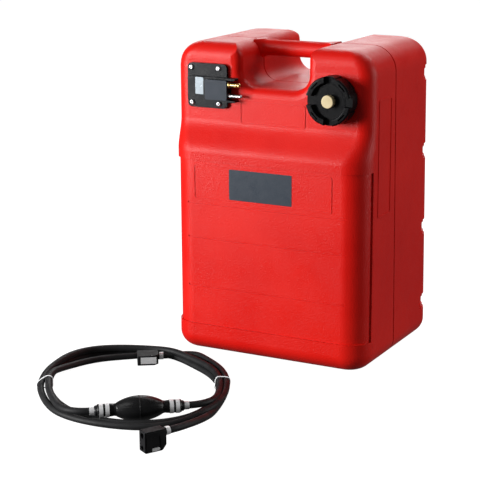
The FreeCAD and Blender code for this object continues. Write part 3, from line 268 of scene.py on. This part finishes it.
TIE = plastic("tie_white", (0.78, 0.79, 0.80), (0.86, 0.87, 0.88), 0.4)

# Hoses not listed here are hose rubber; clamps, crimps, latches and pins are steel with a
# painted reflection.
NODE_MATERIALS = {
    "tank_shell": RED, "filler_neck": RED, "filler_cap": CAP, "cap_gasket": SEAL,
    "vent_seal": SEAL, "vent_screw": VENT, "gauge_gasket": SEAL, "gauge_plate": PLATE,
    "connector_cover": SLATE, "gauge_dial": DIAL, "gauge_window": GLASS,
    "gauge_needle": NEEDLE, "fuel_nipple": BRASS, "locating_pin": SCREW,
    "gauge_stem": INNER, "float_pin": STEEL_PAINTED_REFLECTION, "float_arm": STEEL_PAINTED_REFLECTION, "gauge_float": TRIM,
    "pickup_tube": INNER, "strainer": MESH, "primer_bulb": RUBBER,
    "bulb_valve_in": TRIM, "bulb_valve_out": TRIM,
    "rear_connector": LINK, "front_connector": LINK,
}
for name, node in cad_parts.items():
    if node.type != "MESH":
        continue
    chosen = NODE_MATERIALS.get(name)
    if chosen is None:
        chosen = HOSE_RUBBER if name.startswith("hose_") and "crimp" not in name else STEEL_PAINTED_REFLECTION
    if node.material_slots:
        for slot in node.material_slots:
            slot.material = chosen
    else:
        node.data.materials.append(chosen)


# ---------------------------------------------------------------- fuel line

# From the bulb's outlet once round the coil to the rear connector.
OUTLET = millimetres([
    (12.58, -389.97, 18.5), (22.98, -382.17, 18.5), (31.6, -369.9, 18.3), (35.5, -354.4, 17.5),
    (33, -336.5, 16.1), (25.5, -315.9, 14.8), (15, -292.1, 14),
]) + on_coil([
    (24, 131, 14), (36, 128, 14), (48, 126.5, 13.8), (60, 126, 13.5), (71, 127, 13.3),
    (81, 131, 13.3), (90, 136.5, 14), (98, 142, 13.8), (107, 145, 13), (118, 147, 13.2),
    (130, 150.5, 14), (142, 154.5, 14.5), (153, 153.5, 14.5), (163, 147.3, 14.3),
    (172, 141.3, 13.2), (181, 139, 10.5), (190, 136.5, 7.2), (200, 133, 5), (212, 130, 5),
    (226, 129, 5), (240, 133, 5), (254, 141.5, 5), (268, 148, 5), (281, 153.5, 5),
    (293, 160, 5), (304, 167.5, 5), (314, 172.5, 5), (323, 174, 6.5), (332, 172.5, 9),
    (341, 168, 12), (349, 163, 13.5), (357, 156.5, 13.5), (366, 149.5, 13.5),
    (376, 143.5, 13.5), (388, 139.5, 14), (400, 138, 14), (412, 137.5, 14), (424, 139, 14),
]) + millimetres([
    (-83, -182, 14.5), (-101.5, -177.5, 12), (-119, -178.5, 9), (-134.6, -186.2, 7.5),
    (-146.4, -193.9, 7.5),
])
# From the bulb's inlet, the other way round, to the front connector.
INLET = millimetres([
    (-86.58, -464.43, 18.5), (-96.98, -472.23, 18.5), (-110.4, -476.3, 18.1),
    (-125.3, -475, 17.2), (-141.3, -466.8, 16), (-158.4, -452.9, 15), (-178.5, -433.4, 14.5),
    (-199.9, -409.6, 14),
]) + on_coil([
    (-148, 118, 13), (-160, 121.5, 13.5), (-172, 124.5, 12.5), (-184, 127.5, 8.5),
    (-196, 130.5, 5.5), (-208, 132.5, 5), (-220, 132.5, 5), (-231, 131.5, 5), (-241, 134, 5),
    (-249, 139.5, 5), (-257, 145.5, 5), (-264, 144, 5), (-272, 136.5, 5), (-281, 129, 5),
    (-291, 124, 5), (-303, 123, 5), (-316, 124.5, 5), (-328, 127.5, 5), (-340, 131, 5),
    (-351, 135.5, 5), (-361, 141.5, 5), (-371, 148.5, 5), (-381, 155.5, 5), (-391, 160.5, 5),
    (-402, 161, 5), (-414, 157, 5), (-427, 149.5, 5), (-441, 140.5, 5), (-455, 131, 5),
    (-469, 123, 5), (-483, 118, 5), (-497, 116.5, 5), (-510, 118, 5), (-521, 122, 5),
    (-531, 128, 5), (-540, 135, 5), (-549, 142.8, 5), (-558, 149.6, 5), (-568, 156, 5),
    (-579, 158.5, 5), (-590, 156, 5), (-601, 154.5, 5), (-612, 154, 5), (-621, 154, 5),
    (-629, 151, 5), (-637, 144, 5), (-646, 137, 5), (-657, 133, 5), (-670, 132.5, 5),
    (-683, 134.5, 5), (-696, 138.5, 5), (-708, 143, 5), (-719, 149, 5),
]) + millimetres([
    (38.5, -346, 5), (46, -373, 7), (53, -402, 12.5), (57, -430, 17.5), (56.5, -455, 21),
    (52.5, -477.7, 22.75), (43.5, -493.3, 22.75),
])

hose_a = add_spline("hose_outlet", OUTLET, HOSE / 2, "fuel_line", HOSE_RUBBER)
hose_b = add_spline("hose_inlet", INLET, HOSE / 2, "fuel_line", HOSE_RUBBER)
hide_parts("hose_from_bulb", "hose_rear_end", "hose_coil")
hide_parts("hose_to_bulb", "hose_front_end")


# ---------------------------------------------------------------- bulb and connectors

BULB = (Matrix.Translation((-0.037, -0.4272, 0.0185))
        @ Matrix.Rotation(math.radians(36.9), 4, "Z"))
FRONT_LINK = (Matrix.Translation((0.020, -0.519, 0.0145))
              @ Matrix.Rotation(math.radians(60), 4, "Z")
              @ Matrix.Rotation(math.radians(90), 4, "X"))

# The bulb in millimetres: distances along its axis from its middle, and radii.
BELLY, NECK = 17.8, 9.0
BELLY_END, BELLY_POWER = 32, 0.92       # where the belly meets the neck, and how round it is
SEAM_END, SEAM_RISE = 0.45, 0.35        # the ring round the middle
WAIST, WAIST_WIDTH, WAIST_DEPTH = 35, 2.2, 0.5
RIM, RIM_DEPTH = 57.4, 0.8              # the softened edge at each mouth
BULB_AROUND = 144                       # points round the bulb
PARTING, PARTING_END, PARTING_RISE = (10, 82), 34, 0.28     # which points carry the two lines


def bulb_radius(x):
    """The bulb's radius at x along its axis, in millimetres."""
    belly = 0.0
    if abs(x) < BELLY_END:
        belly = (BELLY - NECK) * (1 - (x / BELLY_END) ** 2) ** BELLY_POWER
    seam = SEAM_RISE if abs(x) < SEAM_END else 0.0
    waist = -WAIST_DEPTH * math.exp(-((abs(x) - WAIST) / WAIST_WIDTH) ** 2)
    rim = -RIM_DEPTH if abs(x) > RIM else 0.0
    return NECK + belly + seam + waist + rim


def squeeze_bulb():
    """The moulded rubber bulb with its necks, its seam ring and two parting lines."""
    spots = [-58, -57.6, -57.2, -54, -50, -46, -42, -40, -38.5]
    spots += [-37 + 0.5 * k for k in range(20)]
    spots += [-27 + k for k in range(26)] + [-0.8, -0.5, -0.3]
    spots = spots + [0] + [-x for x in reversed(spots)]
    bm = bmesh.new()
    loops = []
    for x in spots:
        loop = []
        for k in range(BULB_AROUND):
            angle = 2 * math.pi * k / BULB_AROUND
            ridge = PARTING_RISE if k in PARTING and abs(x) < PARTING_END else 0.0
            radius = bulb_radius(x) + ridge
            loop.append(bm.verts.new((x / 1000, -radius / 1000 * math.cos(angle),
                                      radius / 1000 * math.sin(angle))))
        loops.append(loop)
    for low, high in zip(loops, loops[1:]):
        bridge(bm, low, high)
    bm.faces.new(loops[0])
    bm.faces.new(loops[-1])
    bmesh.ops.recalc_face_normals(bm, faces=bm.faces)
    bmesh.ops.transform(bm, matrix=BULB, verts=bm.verts)
    return add_mesh("bulb_rubber", bm, "fuel_line", RUBBER)


def raised(name, place, outline, low, high, soften, material):
    """A flat moulded rib on a connector: an outline in millimetres, from low to high."""
    bm = bmesh.new()
    base = [bm.verts.new(mm(x, y, low)) for x, y in outline]
    top = [bm.verts.new(mm(x, y, high)) for x, y in outline]
    bm.faces.new(base)
    upper = bm.faces.new(top)
    bridge(bm, base, top)
    bmesh.ops.recalc_face_normals(bm, faces=bm.faces)
    bmesh.ops.bevel(bm, geom=list(upper.edges), offset=soften / 1000, segments=2,
                    affect="EDGES", profile=0.5)
    bmesh.ops.transform(bm, matrix=place, verts=bm.verts)
    return add_mesh(name, bm, "fuel_line", material, smooth=False)


bulb = squeeze_bulb()
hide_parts("primer_bulb")
ribs = raised("front_case_ribs", FRONT_LINK,
              [(2.5, -13.5), (8.5, -13.5), (8.5, -7), (10, 6.5), (22, 6.5), (23.5, -7),
               (23.5, -12.5), (29.5, -7.5), (30.5, -5), (30.5, 12.5), (2.5, 12.5)],
              low=14.6, high=15.9, soften=0.35, material=LINK)
spring = raised("front_side_spring", FRONT_LINK,
                [(10.5, -13.2), (21.5, -13.2), (21.5, -9.8), (19.5, -9.0), (12.5, -9.0),
                 (10.5, -9.8)],
                low=14.7, high=15.5, soften=0.2, material=STEEL_PAINTED_REFLECTION)


# ---------------------------------------------------------------- gauge screws

SCREW_SPOTS = [(-0.1312, 0.4425), (-0.0850, 0.4425), (-0.1305, 0.3895), (-0.0845, 0.3895)]
SCREW_SEAT = -0.1095                    # where the heads sit on the plate, along Y
HEAD_AROUND = 32                        # points round a head
# The head in millimetres: its profile as (radius, rise), then its cross recess.
HEAD_PROFILE = [(4.3, 0.0), (4.4, 0.5), (4.2, 1.35), (3.5, 2.05), (2.5, 2.4), (1.7, 2.5)]
CROSS_HUB, CROSS_ARM, CROSS_POWER = 0.5, 1.15, 14
CROSS_RISE, ARM_DIP = 2.45, 0.2
PIT_RISE, PIT_SHARE = 1.2, 0.75         # the recess's bottom, and its share of the width


def pan_head(name, x, z, turn):
    """A cross-recessed pan head lying in the plane that faces the front."""
    bm = bmesh.new()
    angles = [2 * math.pi * k / HEAD_AROUND for k in range(HEAD_AROUND)]
    loops = [[bm.verts.new((radius / 1000 * math.cos(angle), -rise / 1000,
                            radius / 1000 * math.sin(angle))) for angle in angles]
             for radius, rise in HEAD_PROFILE]
    cross = []
    for angle in angles:
        turned = angle + turn
        arm = max(abs(math.cos(turned)), abs(math.sin(turned))) ** CROSS_POWER
        radius = (CROSS_HUB + CROSS_ARM * arm) / 1000
        cross.append(bm.verts.new((radius * math.cos(angle),
                                   -(CROSS_RISE - ARM_DIP * arm) / 1000,
                                   radius * math.sin(angle))))
    pit = [bm.verts.new((v.co.x * PIT_SHARE, -PIT_RISE / 1000, v.co.z * PIT_SHARE))
           for v in cross]
    loops += [cross, pit]
    for low, high in zip(loops, loops[1:]):
        bridge(bm, low, high)
    bm.faces.new(pit)
    bmesh.ops.recalc_face_normals(bm, faces=bm.faces)
    bmesh.ops.translate(bm, vec=(x, SCREW_SEAT, z), verts=bm.verts)
    return add_mesh(name, bm, "tank", SCREW)


for number, (x, z) in enumerate(SCREW_SPOTS):
    screw = pan_head(f"gauge_screw_{number + 1}", x, z, turn=0.4 + number * 0.7)


# ---------------------------------------------------------------- label and ties

TIE_RADIUS = 0.0008


def rounded(x0, x1, z0, z1, corner, steps=6):
    """Outline of a plate with round corners, seen from the front."""
    spots = []
    for cx, cz, start in ((x1 - corner, z1 - corner, 0), (x0 + corner, z1 - corner, 90),
                          (x0 + corner, z0 + corner, 180), (x1 - corner, z0 + corner, 270)):
        for k in range(steps + 1):
            angle = math.radians(start + 90 * k / steps)
            spots.append((cx + corner * math.cos(angle), cz + corner * math.sin(angle)))
    return spots


def bare_plate(name, box, front, thick, corner, material):
    """A thin blank sticker with a softened rim, lying on a face that looks to the front."""
    bm = bmesh.new()
    loops = []
    for shrink, rise in ((0.0, 0.0), (0.0, thick * 0.5), (thick * 0.9, thick)):
        spots = rounded(box[0] + shrink, box[1] - shrink, box[2] + shrink, box[3] - shrink,
                        corner - shrink)
        loops.append([bm.verts.new((x, front - rise, z)) for x, z in spots])
    for low, high in zip(loops, loops[1:]):
        bridge(bm, low, high)
    bm.faces.new(loops[-1])
    bmesh.ops.recalc_face_normals(bm, faces=bm.faces)
    return add_mesh(name, bm, "tank", material, smooth=False)


def tie(name, turn, rows):
    """A thin wire tie round the strands at one angle, from (radius, height) in millimetres."""
    return add_spline(name, on_coil([(turn, r, z) for r, z in rows]), TIE_RADIUS, "fuel_line",
                      TIE, closed=True, rings=3)


tie("left_tie", 206, [(113.2, 13), (113.8, 18.2), (119, 19.5), (123.8, 17.8), (134.5, 10.4),
                      (137, 5.3), (135.5, 0.9), (130, 0.8), (119, 0.8), (113.8, 1.2),
                      (113.2, 5)])
tie("right_tie", 25, [(122.6, 4), (123.4, 9), (124.2, 16.5), (127.5, 19.9), (133.5, 19.7),
                      (140.5, 19.8), (144.9, 17.5), (145.2, 11), (143.8, 4), (141.5, 0.9),
                      (134, 0.8), (126, 0.8), (122.9, 1.2)])
bare_plate("blank_label", box=(-0.061, 0.0446, 0.247, 0.294), front=-0.1232, thick=0.0005,
           corner=0.0015, material=LABEL)


# ---------------------------------------------------------------- lights and stage

LIGHTS = [      # name, place, size, power in watts, aim
    ("key_light", (-1.95, -2.25, 0.55), (1.0, 1.4), 166, (0, -0.1, 0.25)),
    ("back_light", (0.1, 1.6, 2.0), (2.4, 1.2), 42, (0, 0, 0.45)),
    ("side_light", (2.4, 0.9, 0.7), (1.0, 1.4), 31, (0, -0.1, 0.2)),
    ("glare_light", (-1.0, 1.9, 1.0), (1.4, 0.7), 8, (0, 0, 0.45)),
    ("coil_light", (-0.5, -1.3, 1.5), (0.9, 0.5), 6, (-0.118, -0.32, 0.0)),
]
WORLD_LIGHT = 0.11
FLOOR_HALF, FLOOR_DROP, DOME_RADIUS = 40, 0.0004, 24


def area(name, place, size, power, aim):
    data = bpy.data.lights.new(name, "AREA")
    data.shape = "RECTANGLE"
    data.size, data.size_y = size
    data.energy = power
    light = bpy.data.objects.new(name, data)
    scene.collection.objects.link(light)
    light.location = place
    way = Vector(aim) - Vector(place)
    light.rotation_euler = way.to_track_quat("-Z", "Y").to_euler()


for light_row in LIGHTS:
    area(*light_row)

world = bpy.data.worlds.new("studio")
scene.world = world
world.use_nodes = True
sky = world.node_tree.nodes["Background"]
sky.inputs["Color"].default_value = (1, 1, 1, 1)
sky.inputs["Strength"].default_value = WORLD_LIGHT

# A white floor and a white dome that neither light the object nor show in its reflections.
stage_paint = Paint("floor", 0.9)
stage_paint.set(Base_Color=(0.25, 0.25, 0.25, 1), Specular_IOR_Level=0.0,
                Emission_Color=(1, 1, 1, 1), Emission_Strength=0.985)
bm = bmesh.new()
bmesh.ops.create_grid(bm, x_segments=1, y_segments=1, size=FLOOR_HALF)
floor = mesh_object("floor", bm, stage_paint.material)
floor.location.z = -FLOOR_DROP
bm = bmesh.new()
bmesh.ops.create_uvsphere(bm, u_segments=48, v_segments=24, radius=DOME_RADIUS)
dome = mesh_object("backdrop", bm, stage_paint.material)
dome.visible_shadow = dome.visible_transmission = False
for stage in (floor, dome):
    stage.visible_glossy = stage.visible_diffuse = False
scene.view_settings.view_transform = "Standard"
